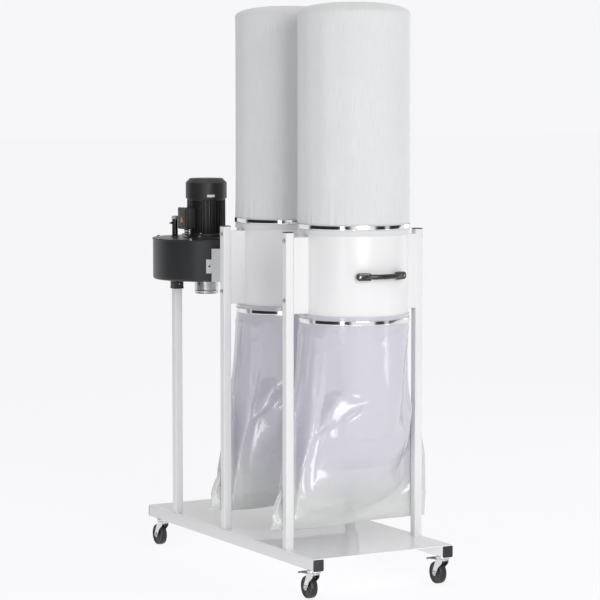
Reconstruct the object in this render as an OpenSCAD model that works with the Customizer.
// Twin-bag dust collector on a wheeled frame: two drums in line, each with a felt filter bag
// above and a clear dust bag below, and a motor-driven fan at the rear left corner.
// X is across the machine, the front faces -Y, and Z is up from the floor.

/* [Base frame] */
// Length of the base, front to back
base_len = 1620; // [1500:10:1800]
// Width of the base over its two rails
base_w = 710; // [700:5:760]
// Width of a rail tube
rail_w = 50; // [40:1:60]
// Height of a rail tube
rail_h = 52; // [45:1:60]
// Wall of the rail and post tubes
tube_wall = 2.5; // [2:0.5:4]
// Thickness of the deck sheet that lies on the rails
deck_t = 3; // [2:0.5:5]
// Side of the cross tubes under the deck
cross_side = 40; // [30:1:45]

/* [Posts] */
// Side of a post's square tube
post_side = 38; // [34:1:42]
// Height of a drum post's top above the floor
post_top = 1579; // [1570:1:1590]
// Height of the fan post's top above the floor
fan_post_top = 1296; // [1290:1:1298]

/* [Drums] */
// Outer radius of a drum
drum_r = 241; // [236:1:244]
// Wall of a drum
drum_wall = 2; // [1.5:0.5:3]
// Height of a drum's lower rim
drum_bottom = 1175; // [1165:1:1180]
// Height of a drum's upper rim
drum_top = 1612; // [1606:1:1620]
// Distance from one drum's axis to the other's
drum_pitch = 585; // [570:5:600]
// Distance from the base's front end to the front drum's axis
front_drum_in = 270; // [265:5:280]

/* [Bags and bands] */
// Outer radius of a filter bag
filter_r = 248; // [246:0.5:250]
// Height of a filter bag's crown
filter_top = 2577; // [2300:1:2700]
// Outer radius of the dust bag's hem
hem_r = 245; // [244:0.5:246]
// Height of a dust bag's bottom seam
dust_bottom = 267; // [240:1:300]
// Length of a dust bag's bottom seam
seam_len = 786; // [760:2:800]
// Height of a clamp band's strip
band_h = 20; // [16:1:24]
// Thickness of a clamp band's strip
band_t = 2.5; // [1.5:0.5:3]

/* [Fan and motor] */
// Fan axis, left of the base's centre line
fan_off = 174; // [165:1:180]
// Distance from the base's front end to the fan's axis
fan_in = 1350; // [1345:5:1360]
// Outer radius of the fan housing
housing_r = 254; // [248:1:258]
// Underside of the fan housing
housing_bottom = 1301; // [1299:1:1303]
// Top of the fan housing
housing_top = 1496; // [1480:1:1510]
// Outer radius of the suction spigot
spigot_r = 56; // [50:1:60]
// Radius of the motor over its fins
motor_r = 91.5; // [85:0.5:95]
// Radius of the motor's fan cowl
cowl_r = 97.5; // [96:0.5:105]

/* [Casters] */
// Radius of a caster's wheel
wheel_r = 50; // [45:1:52]
// Width of a caster's wheel
wheel_w = 30; // [26:1:30]
// Height of a caster from the floor to the rail
caster_h = 130; // [128:1:134]
// Distance from a caster's swivel axis to its axle
trail = 42; // [36:1:45]

/* [Hidden] */
$fn = 96;

// The origin stands under the middle of the whole machine: the fan housing overhangs on the
// left, the dust bags' seams on the right and the handle in front, so the base is set over.
base_x = (fan_off + housing_r - seam_len / 2) / 2;
fan_x = base_x - fan_off;
handle_out = drum_r + 34;
handle_front = handle_out + 13;
base_front = (handle_front - front_drum_in - base_len) / 2;
base_back = base_front + base_len;
base_y = (base_front + base_back) / 2;
front_drum_y = base_front + front_drum_in;
fan_y = base_front + fan_in;
post_x = (base_w - 2 * 5 - post_side) / 2;
rail_x = (base_w - rail_w) / 2;
rear_drum_y = front_drum_y + drum_pitch;
rail_bottom = caster_h;
rail_top = rail_bottom + rail_h;
deck_top = rail_top + deck_t;
cap_t = 6;
side_left = -1;
side_right = 1;

// Fasteners
bolt_r = 4;
bolt_hole_r = 4.3;
washer_r = 10;
bracket_z0 = 1222;
bracket_z1 = 1555;
bracket_bolt_z = [1280, 1541];

// Ducts
duct_z0 = housing_bottom + 2;
duct_h = 154;
duct_wall = 2;

// Clamp latches, on the side away from the front left
latch_angle = 35;
latch_pin_r = 1.5;
latch_half = 32;
latch_gap = 4.5;

// Shaft and bearings
shaft_r = 12;
running = 0.05;
motor_z0 = housing_top + 6;
motor_z1 = 1683;
cowl_top = 1777;

// Casters: fork plates, swivel plate and king bolt
front_caster_y = base_front + 42;
rear_caster_y = base_back - 112;
leg_t = 3;
leg_in = wheel_w / 2 + 2;
plate_z0 = 115;
plate_t = 6.5;
king_r = 6;
axle_r = 5;
pin_r = 2.5;
pin_y = 24;
pin_z = 109;

painted = [0.93, 0.93, 0.93];
sheet_grey = [0.78, 0.79, 0.79];
charcoal = [0.2, 0.2, 0.21];
black_plastic = [0.1, 0.1, 0.1];
bright = [0.82, 0.82, 0.84];
felt = [0.9, 0.91, 0.91];
film = [0.8, 0.79, 0.84, 0.6];

// A box given by its two opposite corners
module block(low, high) { translate(low) cube(high - low); }

// A square tube along Z, standing on z = 0
module tube(w, d, wall, len) {
    linear_extrude(len) difference() {
        square([w, d], center = true);
        square([w - 2 * wall, d - 2 * wall], center = true);
    }
}

// A ring about Z between two heights
module ring(r_in, r_out, z0, z1) {
    translate([0, 0, z0]) linear_extrude(z1 - z0) difference() {
        circle(r_out);
        circle(r_in);
    }
}

// ---------------------------------------------------------------- base frame

// Places of the bolts that hold the posts down, along each rail
function foot_y(side) = side < 0 ? [front_drum_y, rear_drum_y, fan_y] : [front_drum_y, rear_drum_y];

module rail(side) {
    color(painted) translate([base_x + side * rail_x, 0, 0]) difference() {
        translate([0, base_back - cap_t, rail_bottom + rail_h / 2]) rotate([90, 0, 0])
            tube(rail_w, rail_h, tube_wall, base_len - 2 * cap_t);
        for (y = foot_y(side))
            translate([side * (post_x - rail_x), y, 0]) cylinder(r = bolt_hole_r, h = 300);
        for (y = [front_caster_y, rear_caster_y])
            translate([0, y, 0]) cylinder(r = king_r + 0.3, h = rail_bottom + 10);
    }
}
module left_rail() { rail(side_left); }
module right_rail() { rail(side_right); }

// Plastic plugs that close the four rail ends
module rail_end_caps() {
    face = base_len / 2; // measured from the middle of the base
    slack = 0.4;
    color(black_plastic) for (sx = [-1, 1], sy = [-1, 1])
        translate([base_x + sx * rail_x, base_y, rail_bottom]) mirror([0, sy < 0 ? 1 : 0, 0]) {
            block([-rail_w / 2, face - cap_t, 0], [rail_w / 2, face, rail_h]);
            block([-rail_w / 2 + tube_wall + slack, face - 24, tube_wall + slack],
                [rail_w / 2 - tube_wall - slack, face - cap_t, rail_h - tube_wall - slack]);
        }
}

// Tubes from rail to rail, level with the rails' tops
module cross_tubes() {
    color(painted) for (from_front = [380, 1000, 1570])
        translate([base_x - rail_x + rail_w / 2, base_front + from_front,
            rail_top - cross_side / 2])
            rotate([90, 0, 90]) tube(cross_side, cross_side, tube_wall, 2 * rail_x - rail_w);
}

module deck_sheet() {
    color(painted) difference() {
        block([base_x - base_w / 2, base_front, rail_top],
            [base_x + base_w / 2, base_back, deck_top]);
        for (side = [-1, 1], y = foot_y(side))
            translate([base_x + side * post_x, y, rail_top - 1]) cylinder(r = bolt_hole_r, h = 10);
    }
}

// ---------------------------------------------------------------- posts

module drum_post(side, y) {
    color(painted) translate([base_x + side * post_x, y, 0]) difference() {
        translate([0, 0, deck_top]) tube(post_side, post_side, tube_wall, post_top - 4 - deck_top);
        for (z = bracket_bolt_z)
            translate([0, 0, z]) rotate([0, 90, 0]) cylinder(r = bolt_hole_r, h = 60, center = true);
    }
}
module post_front_left() { drum_post(side_left, front_drum_y); }
module post_front_right() { drum_post(side_right, front_drum_y); }
module post_mid_left() { drum_post(side_left, rear_drum_y); }
module post_mid_right() { drum_post(side_right, rear_drum_y); }

module fan_post() {
    color(painted) translate([base_x - post_x, fan_y, deck_top])
        tube(post_side, post_side, tube_wall, fan_post_top - deck_top);
}

// Thin caps with plugs, on the four drum posts
module post_caps() {
    plug = post_side - 2 * tube_wall - 0.8;
    color(black_plastic) for (sx = [-1, 1], y = [front_drum_y, rear_drum_y])
        translate([base_x + sx * post_x, y, post_top - 4]) {
            translate([0, 0, 2]) cube([post_side, post_side, 4], center = true);
            translate([0, 0, -8]) cube([plug, plug, 16], center = true);
        }
}

// One bolt along +Z: its head's underside at z = 0, and a nut from nut_z up
module bolt(len, nut_z) {
    translate([0, 0, -2]) cylinder(r = washer_r, h = 2);
    translate([0, 0, -8]) cylinder(r = 7.5, h = 6.5, $fn = 6);
    cylinder(r = bolt_r, h = len);
    translate([0, 0, nut_z]) cylinder(r = 7.5, h = 7, $fn = 6);
}

// Bolts up through the rails into the posts, and in through the posts into the brackets
module frame_bolts() {
    web_in = post_x - post_side / 2 - 3;
    reach = post_x + post_side / 2 - web_in;
    color(bright) {
        for (side = [-1, 1], y = foot_y(side))
            translate([base_x + side * post_x, y, rail_bottom])
                bolt(deck_top - rail_bottom + 14, deck_top - rail_bottom);
        for (sx = [-1, 1], y = [front_drum_y, rear_drum_y], z = bracket_bolt_z)
            translate([base_x + sx * (post_x + post_side / 2), y, z])
                rotate([0, -sx * 90, 0]) bolt(reach + 10, reach);
    }
}

// ---------------------------------------------------------------- drums and ducts

// Outline of the duct from the fan housing to the rear drum, seen from above, with its sides
// moved out by grow
module inlet_outline(grow) {
    polygon([[-269 - grow, 340], [-269 - grow, 305], [-200 - grow, 172], [-150, 100],
        [-10 + grow, 240], [-20 + grow, 285], [-60 + grow, 322], [-60 + grow, 360], [-190, 380]]);
}

// The inside of the inlet duct as a solid, to cut openings in the walls it passes
module inlet_inside() {
    translate([base_x, base_y, duct_z0 + duct_wall]) linear_extrude(duct_h - 2 * duct_wall)
        inlet_outline(-duct_wall);
}

link_w = 160;
module link_inside() {
    y0 = front_drum_y + drum_r / 2;
    y1 = rear_drum_y - drum_r / 2;
    block([base_x - link_w / 2 + duct_wall, y0, duct_z0 + duct_wall],
        [base_x + link_w / 2 - duct_wall, y1, duct_z0 + duct_h - duct_wall]);
}

// A straight shell, open above and below
module drum(y) {
    translate([base_x, y, 0]) ring(drum_r - drum_wall, drum_r, drum_bottom, drum_top);
}
module front_drum() {
    color(painted) difference() {
        drum(front_drum_y);
        link_inside();
    }
}
module rear_drum() {
    color(painted) difference() {
        drum(rear_drum_y);
        link_inside();
        inlet_inside();
    }
}

// Channels from the posts to the drums, open towards the drum
module drum_brackets() {
    far = post_x - post_side / 2;
    wall = 3;
    color(painted) for (sx = [-1, 1], y = [front_drum_y, rear_drum_y])
        translate([base_x, y, 0]) difference() {
            scale_x(sx) block([drum_r - 12, -post_side / 2, bracket_z0],
                [far, post_side / 2, bracket_z1]);
            scale_x(sx) block([0, -post_side / 2 + wall, bracket_z0 - 1],
                [far - wall, post_side / 2 - wall, bracket_z1 + 1]);
            translate([0, 0, bracket_z0 - 2])
                cylinder(r = drum_r + 0.1, h = bracket_z1 - bracket_z0 + 4);
            for (z = bracket_bolt_z) scale_x(sx) translate([far - 10, 0, z])
                rotate([0, 90, 0]) cylinder(r = bolt_hole_r, h = 20);
        }
}

// Mirrors its children to the left where side is -1
module scale_x(side) { mirror([side < 0 ? 1 : 0, 0, 0]) children(); }

module link_duct() {
    y0 = front_drum_y + drum_r / 2;
    y1 = rear_drum_y - drum_r / 2;
    color(sheet_grey) difference() {
        block([base_x - link_w / 2, y0, duct_z0], [base_x + link_w / 2, y1, duct_z0 + duct_h]);
        block([base_x - link_w / 2 + duct_wall, y0 - 1, duct_z0 + duct_wall],
            [base_x + link_w / 2 - duct_wall, y1 + 1, duct_z0 + duct_h - duct_wall]);
        for (y = [front_drum_y, rear_drum_y]) translate([base_x, y, duct_z0 - 1])
            cylinder(r = drum_r + 0.1, h = duct_h + 2);
    }
}

// Sheet-metal duct from the fan housing to the rear drum, with a fixing tab on the housing
module inlet_duct() {
    tab_z0 = 1342;
    tab_h = 65;
    color(sheet_grey) {
        difference() {
            translate([base_x, base_y, duct_z0]) linear_extrude(duct_h) inlet_outline(0);
            inlet_inside();
            translate([fan_x, fan_y, duct_z0 - 1]) cylinder(r = housing_r + 0.1, h = duct_h + 2);
            translate([base_x, rear_drum_y, duct_z0 - 1])
                cylinder(r = drum_r + 0.1, h = duct_h + 2);
        }
        translate([fan_x, fan_y, tab_z0]) rotate([0, 0, 242.5])
            rotate_extrude(angle = 6.5) translate([housing_r + 0.1, 0]) square([2.5, tab_h]);
    }
}

// ---------------------------------------------------------------- clamp bands

// Carries its children from the latch's own frame (x along the strip, y outwards) to the band
module at_latch(y, z) {
    translate([base_x, y, z]) rotate([0, 0, latch_angle - 90]) children();
}

function latch_y(strip_r) = strip_r + band_t + latch_gap;

module band(y, z, strip_r) {
    pin_y0 = latch_y(strip_r);
    color(bright) {
        translate([base_x, y, z]) ring(strip_r, strip_r + band_t, -band_h / 2, band_h / 2);
        at_latch(y, z) for (up = [-1, 1]) {
            translate([-latch_half, pin_y0, up > 0 ? 6 : -10]) cylinder(r = 4, h = 4);
            block([-latch_half - 3, strip_r - 1.2, up > 0 ? 6 : -10],
                [-latch_half + 3, pin_y0, up > 0 ? 10 : -6]);
        }
        at_latch(y, z) translate([-latch_half, pin_y0, -10]) cylinder(r = latch_pin_r, h = 20);
        at_latch(y, z) block([16, strip_r + band_t - 1.2, -6], [24, pin_y0 - 1.8, 6]);
    }
}

// Over-centre lever that turns on the band's pin and lies along the strip when closed
module latch(y, z, strip_r) {
    pin_y0 = latch_y(strip_r);
    color(bright) at_latch(y, z) difference() {
        union() {
            translate([-latch_half, pin_y0, -5.7]) cylinder(r = 4, h = 11.4);
            block([-latch_half, pin_y0 - 1.3, -5.7], [latch_half, pin_y0 + 1.2, 5.7]);
            translate([latch_half, pin_y0 + 0.7, -5.7]) cylinder(r = 2, h = 11.4);
        }
        translate([-latch_half, pin_y0, -8]) cylinder(r = latch_pin_r + running, h = 16);
    }
}

upper_band_z = 1600;
lower_band_z = 1187;
upper_strip_r = filter_r + 0.2;
lower_strip_r = hem_r + 0.2;
module front_upper_band() { band(front_drum_y, upper_band_z, upper_strip_r); }
module front_lower_band() { band(front_drum_y, lower_band_z, lower_strip_r); }
module rear_upper_band() { band(rear_drum_y, upper_band_z, upper_strip_r); }
module rear_lower_band() { band(rear_drum_y, lower_band_z, lower_strip_r); }
module front_upper_latch() { latch(front_drum_y, upper_band_z, upper_strip_r); }
module front_lower_latch() { latch(front_drum_y, lower_band_z, lower_strip_r); }
module rear_upper_latch() { latch(rear_drum_y, upper_band_z, upper_strip_r); }
module rear_lower_latch() { latch(rear_drum_y, lower_band_z, lower_strip_r); }

// ---------------------------------------------------------------- bags

// Inflated felt bag with a low crown; its skirt hangs over the drum's upper rim
module filter_bag(y) {
    skirt_z = 1564;
    crown = [[0, filter_top], [120, filter_top - 4], [200, filter_top - 14],
        [filter_r - 10, filter_top - 27], [filter_r, filter_top - 46]];
    color(felt) translate([base_x, y, 0]) {
        rotate_extrude() polygon(concat([[0, drum_top]], crown, [[filter_r, drum_top]]));
        ring(drum_r + 0.3, filter_r, skirt_z, drum_top);
    }
}
module front_filter_bag() { filter_bag(front_drum_y); }
module rear_filter_bag() { filter_bag(rear_drum_y); }

// Film bag: round at the drum, flattening to a straight seam, with corners behind the posts
module dust_bag(y) {
    hem_top = 1214;
    seam_y = 40;
    body_half = 294;
    ear_t = 14;
    seam_half = seam_len / 2;
    color(film) translate([base_x, y, 0]) {
        ring(drum_r + 0.3, hem_r, drum_bottom, hem_top);
        hull() {
            translate([0, 0, drum_bottom - 2]) cylinder(r = hem_r, h = 2, $fn = 64);
            translate([-body_half, seam_y - 6, dust_bottom]) cube([2 * body_half, 12, 4]);
        }
        for (sx = [-1, 1]) scale_x(sx) translate([0, seam_y + ear_t / 2, 0]) rotate([90, 0, 0])
            linear_extrude(ear_t) polygon([[270, dust_bottom], [seam_half - 12, dust_bottom + 20],
                [seam_half, dust_bottom + 45], [seam_half - 3, 440], [365, 690], [331, 767],
                [270, 834]]);
    }
}
module front_dust_bag() { dust_bag(front_drum_y); }
module rear_dust_bag() { dust_bag(rear_drum_y); }

// ---------------------------------------------------------------- handle

handle_z = 1390;
// The ends stand square on the drum's curve, so each is turned about the drum's axis. The bar
// bows out between them on an arc that passes handle_out in front of that axis.
handle_turn = 24.3;
handle_end = 261;
grip_r = 12;
grip_out = handle_front - grip_r;
grip_x = handle_end * sin(handle_turn) - 26 * cos(handle_turn);
grip_y = handle_end * cos(handle_turn) + 26 * sin(handle_turn);
grip_arc = (pow(grip_x, 2) + pow(grip_out - grip_y, 2)) / (2 * (grip_out - grip_y));
grip_angle = asin(grip_x / grip_arc);
module grip(r) {
    translate([base_x, front_drum_y - grip_out + grip_arc, handle_z])
        rotate([0, 0, -90 - grip_angle]) rotate_extrude(angle = 2 * grip_angle)
            translate([grip_arc, 0]) circle(r = r);
}
module handle_lugs() {
    color(black_plastic) difference() {
        for (sx = [-1, 1])
            translate([base_x, front_drum_y, handle_z]) rotate([0, 0, sx * handle_turn]) {
                translate([0, -272, 0]) rotate([-90, 0, 0]) cylinder(r = 17, h = 40);
                translate([sx < 0 ? 0 : -44, -272, -15.5]) cube([44, 22, 31]);
            }
        translate([base_x, front_drum_y, handle_z - 40]) cylinder(r = drum_r + 0.1, h = 80);
        grip(grip_r + 0.05);
    }
}
module handle_bar() {
    color(black_plastic) grip(grip_r);
}

// ---------------------------------------------------------------- fan and motor

// Carries its children to the fan's axis
module at_fan() { translate([fan_x, fan_y, 0]) children(); }

module fan_housing() {
    color(charcoal) difference() {
        at_fan() ring(housing_r - 2.5, housing_r, housing_bottom, housing_top - 3);
        inlet_inside();
    }
    color(charcoal) at_fan() ring(spigot_r - 1.5, housing_r - 1, housing_bottom,
        housing_bottom + 2.5);
}

module housing_cover() {
    color(charcoal) at_fan() {
        ring(shaft_r + 2, housing_r, housing_top - 3, housing_top);
        ring(shaft_r + 2, 110, housing_top, motor_z0);
    }
}

// Screws round the cover's edge and through the motor's flange
module cover_bolts() {
    color(bright) at_fan() {
        for (a = [0:45:359]) rotate([0, 0, a]) translate([housing_r - 14, 0, housing_top])
            cylinder(r = 8, h = 7, $fn = 6);
        for (a = [45:90:359]) rotate([0, 0, a]) translate([102, 0, motor_z0])
            cylinder(r = 7, h = 8, $fn = 6);
    }
}

module inlet_spigot() {
    color(bright) at_fan() ring(spigot_r - 1.5, spigot_r, 1230, housing_bottom);
}

// Socket on the fan post, with a plate under the housing
module post_socket() {
    socket = 48;
    color(black_plastic) translate([base_x - post_x, fan_y, 0]) difference() {
        union() {
            block([-socket / 2, -socket / 2, 1258], [socket / 2, socket / 2, housing_bottom]);
            block([-40, -40, housing_bottom - 4], [60, 40, housing_bottom]);
        }
        translate([0, 0, (1258 + fan_post_top) / 2 - 1])
            cube([post_side + 0.2, post_side + 0.2, fan_post_top - 1258 + 2], center = true);
    }
}

// Back plate, hub and backward-leaning blades
module impeller() {
    plate_z = housing_top - 24;
    blade_z = housing_bottom + 22;
    color(bright) at_fan() {
        ring(shaft_r + running, 26, blade_z + 40, plate_z);
        ring(shaft_r + running, 205, plate_z, plate_z + 3);
        for (i = [0:9]) rotate([0, 0, i * 36]) translate([24, 0, blade_z]) rotate([0, 0, -12])
            cube([172, 3, plate_z - blade_z + 1]);
    }
}

module motor_shaft() {
    color(bright) at_fan() translate([0, 0, housing_bottom + 60])
        cylinder(r = shaft_r, h = cowl_top - 30 - housing_bottom - 60);
}

module shaft_bearings() {
    color(bright) at_fan() for (z = [motor_z0 + 4, motor_z1 - 22])
        ring(shaft_r + running, 26, z, z + 16);
}

// Finned frame with end walls that seat the bearings
module motor_body() {
    fins = 32;
    color(charcoal) at_fan() difference() {
        union() {
            translate([0, 0, motor_z0]) cylinder(r = 92, h = 14);
            translate([0, 0, motor_z0 + 14]) linear_extrude(motor_z1 - motor_z0 - 14) {
                circle(79);
                for (i = [0:fins - 1]) rotate(i * 360 / fins) translate([70, -1.6])
                    square([motor_r - 70, 3.2]);
            }
        }
        translate([0, 0, motor_z0 + 20]) cylinder(r = 60, h = motor_z1 - motor_z0 - 42);
        translate([0, 0, motor_z0 - 1]) cylinder(r = 26, h = motor_z1 - motor_z0 + 2);
    }
}

module cooling_fan() {
    color(black_plastic) at_fan() {
        ring(shaft_r + running, 20, motor_z1 + 18, motor_z1 + 48);
        for (i = [0:6]) rotate([0, 0, i * 360 / 7]) translate([18, -1.5, motor_z1 + 20])
            cube([58, 3, 26]);
    }
}

// Cowl over the cooling fan, chamfered, with radial air slots in its top
module motor_cowl() {
    wall = 2;
    chamfer = 20;
    z0 = motor_z1;
    color(charcoal) at_fan() difference() {
        rotate_extrude() polygon([[motor_r + 0.3, z0], [cowl_r, z0], [cowl_r, cowl_top - chamfer],
            [cowl_r - chamfer, cowl_top], [0, cowl_top], [0, cowl_top - wall],
            [cowl_r - chamfer - 1, cowl_top - wall], [cowl_r - wall, cowl_top - chamfer - 1],
            [cowl_r - wall, z0 + 8], [motor_r + 0.3, z0 + 8]]);
        for (i = [0:23]) rotate([0, 0, i * 15]) translate([28, -2, cowl_top - wall - 1])
            cube([42, 4, wall + 2]);
    }
}

box_x0 = -131;
box_x1 = -81;
box_half = 46;
box_z0 = 1539;
box_z1 = 1639;
module terminal_box() {
    color(charcoal) at_fan() difference() {
        union() {
            block([box_x0 + 14, -box_half, box_z0], [box_x1, box_half, box_z1]);
            block([box_x0, -box_half - 1, box_z0 - 1], [box_x0 + 14, box_half + 1, box_z1 + 1]);
        }
        block([box_x0 + 4, -box_half + 4, box_z0 + 4], [box_x1 - 10, box_half - 4, box_z1 - 4]);
        translate([0, 0, box_z0 - 10]) cylinder(r = motor_r + 0.3, h = box_z1 - box_z0 + 20);
    }
}

module cable_glands() {
    color(bright) at_fan() for (y = [-24, 8]) translate([-103, y, 0]) {
        translate([0, 0, box_z0 - 9]) cylinder(r = 11, h = 9, $fn = 6);
        translate([0, 0, box_z0 - 22]) cylinder(r = 8.5, h = 13);
        translate([0, 0, box_z0 - 30]) cylinder(r = 6.5, h = 8);
    }
}

// Appliance inlet: an upright barrel with a hinged grey lid, standing on the cover
module power_inlet() {
    color(black_plastic) at_fan() translate([-115, 103, housing_top]) {
        cylinder(r = 20, h = 5);
        translate([0, 0, 5]) cylinder(r = 14, h = 80);
        translate([0, 0, 85]) cylinder(r = 16, h = 16);
        translate([-26, -5, 62]) cube([13, 10, 10]);
    }
}

// ---------------------------------------------------------------- casters

// Carries its children to one caster's swivel axis at floor level
module at_caster(side, y) { translate([base_x + side * rail_x, y, 0]) children(); }

// Fixed races under the rails with their king bolts
module caster_mounts() {
    color(bright) for (side = [-1, 1], y = [front_caster_y, rear_caster_y]) at_caster(side, y) {
        translate([0, 0, plate_z0 + plate_t + 0.5])
            cylinder(r = 31, h = rail_bottom - plate_z0 - plate_t - 0.5);
        translate([0, 0, plate_z0 - 6]) cylinder(r = king_r, h = rail_bottom - plate_z0 + 26);
        translate([0, 0, plate_z0 - 7]) cylinder(r = 10, h = 6.5, $fn = 6);
        translate([0, 0, rail_bottom + tube_wall]) cylinder(r = 10, h = 10, $fn = 6);
    }
}

// Swivel plate and two legs that trail back to the axle
module fork(side, y, has_pin) {
    color(bright) at_caster(side, y) {
        difference() {
            union() {
                translate([0, 0, plate_z0]) cylinder(r = 29, h = plate_t);
                for (sx = [-1, 1]) scale_x(sx) translate([leg_in, 0, 0]) rotate([90, 0, 90])
                    linear_extrude(leg_t) {
                        polygon([[-15, plate_z0 + 2], [34, plate_z0 + 2], [56, wheel_r],
                            [trail - 14, wheel_r], [-15, plate_z0 - 16]]);
                        translate([trail, wheel_r]) circle(14);
                    }
            }
            translate([0, 0, plate_z0 - 1]) cylinder(r = king_r + running, h = plate_t + 2);
            translate([0, trail, wheel_r]) rotate([0, 90, 0])
                cylinder(r = axle_r + running, h = 80, center = true);
        }
        if (has_pin) translate([0, pin_y, pin_z]) rotate([0, 90, 0])
            cylinder(r = pin_r, h = 2 * (leg_in + leg_t), center = true);
    }
}
module fork_front_left() { fork(side_left, front_caster_y, true); }
module fork_front_right() { fork(side_right, front_caster_y, true); }
module fork_rear_left() { fork(side_left, rear_caster_y, false); }
module fork_rear_right() { fork(side_right, rear_caster_y, false); }

// Solid wheel with a rounded tread, dished sides and a hub
module wheel(side, y) {
    h = wheel_w / 2;
    color(black_plastic) at_caster(side, y) translate([0, trail, wheel_r]) rotate([0, 90, 0])
        rotate_extrude() polygon([[axle_r + running, -h], [14, -h], [17, -h + 5], [35, -h + 5],
            [38, -h + 1], [wheel_r - 5, -h + 1], [wheel_r - 1.2, -h + 6], [wheel_r, -h + 12],
            [wheel_r, h - 12], [wheel_r - 1.2, h - 6], [wheel_r - 5, h - 1], [38, h - 1],
            [35, h - 5], [17, h - 5], [14, h], [axle_r + running, h]]);
}
module wheel_front_left() { wheel(side_left, front_caster_y); }
module wheel_front_right() { wheel(side_right, front_caster_y); }
module wheel_rear_left() { wheel(side_left, rear_caster_y); }
module wheel_rear_right() { wheel(side_right, rear_caster_y); }

// Axle bolt with its head and nut outside the fork's legs
module axle(side, y) {
    outer = leg_in + leg_t;
    color(bright) at_caster(side, y) translate([0, trail, wheel_r]) rotate([0, 90, 0]) {
        cylinder(r = axle_r, h = 2 * outer, center = true);
        for (sx = [-1, 1]) translate([0, 0, sx * (outer + 3)])
            cylinder(r = 8.5, h = 6, center = true, $fn = 6);
    }
}
module axle_front_left() { axle(side_left, front_caster_y); }
module axle_front_right() { axle(side_right, front_caster_y); }
module axle_rear_left() { axle(side_left, rear_caster_y); }
module axle_rear_right() { axle(side_right, rear_caster_y); }

// Brake pedal that turns on the fork's cross pin and is trodden down behind the wheel's top
module pedal(side) {
    color([0.6, 0.6, 0.6]) at_caster(side, front_caster_y) difference() {
        union() {
            translate([0, pin_y, pin_z]) rotate([0, 90, 0]) cylinder(r = 5, h = 30, center = true);
            block([-14, pin_y + 3, pin_z - 1.5], [14, 60, pin_z + 1.5]);
            block([-23, 56, pin_z - 1.5], [23, 103, pin_z + 1.5]);
            block([-23, 100, pin_z - 8], [23, 103, pin_z]);
        }
        translate([0, pin_y, pin_z]) rotate([0, 90, 0])
            cylinder(r = pin_r + running, h = 40, center = true);
    }
}
module pedal_front_left() { pedal(side_left); }
module pedal_front_right() { pedal(side_right); }

left_rail();
right_rail();
rail_end_caps();
cross_tubes();
deck_sheet();
post_front_left();
post_front_right();
post_mid_left();
post_mid_right();
fan_post();
post_caps();
frame_bolts();
front_drum();
rear_drum();
drum_brackets();
link_duct();
inlet_duct();
front_upper_band();
front_lower_band();
rear_upper_band();
rear_lower_band();
front_upper_latch();
front_lower_latch();
rear_upper_latch();
rear_lower_latch();
front_filter_bag();
rear_filter_bag();
front_dust_bag();
rear_dust_bag();
handle_lugs();
handle_bar();
fan_housing();
housing_cover();
cover_bolts();
inlet_spigot();
post_socket();
impeller();
motor_shaft();
shaft_bearings();
motor_body();
cooling_fan();
motor_cowl();
terminal_box();
cable_glands();
power_inlet();
caster_mounts();
fork_front_left();
fork_front_right();
fork_rear_left();
fork_rear_right();
wheel_front_left();
wheel_front_right();
wheel_rear_left();
wheel_rear_right();
axle_front_left();
axle_front_right();
axle_rear_left();
axle_rear_right();
pedal_front_left();
pedal_front_right();
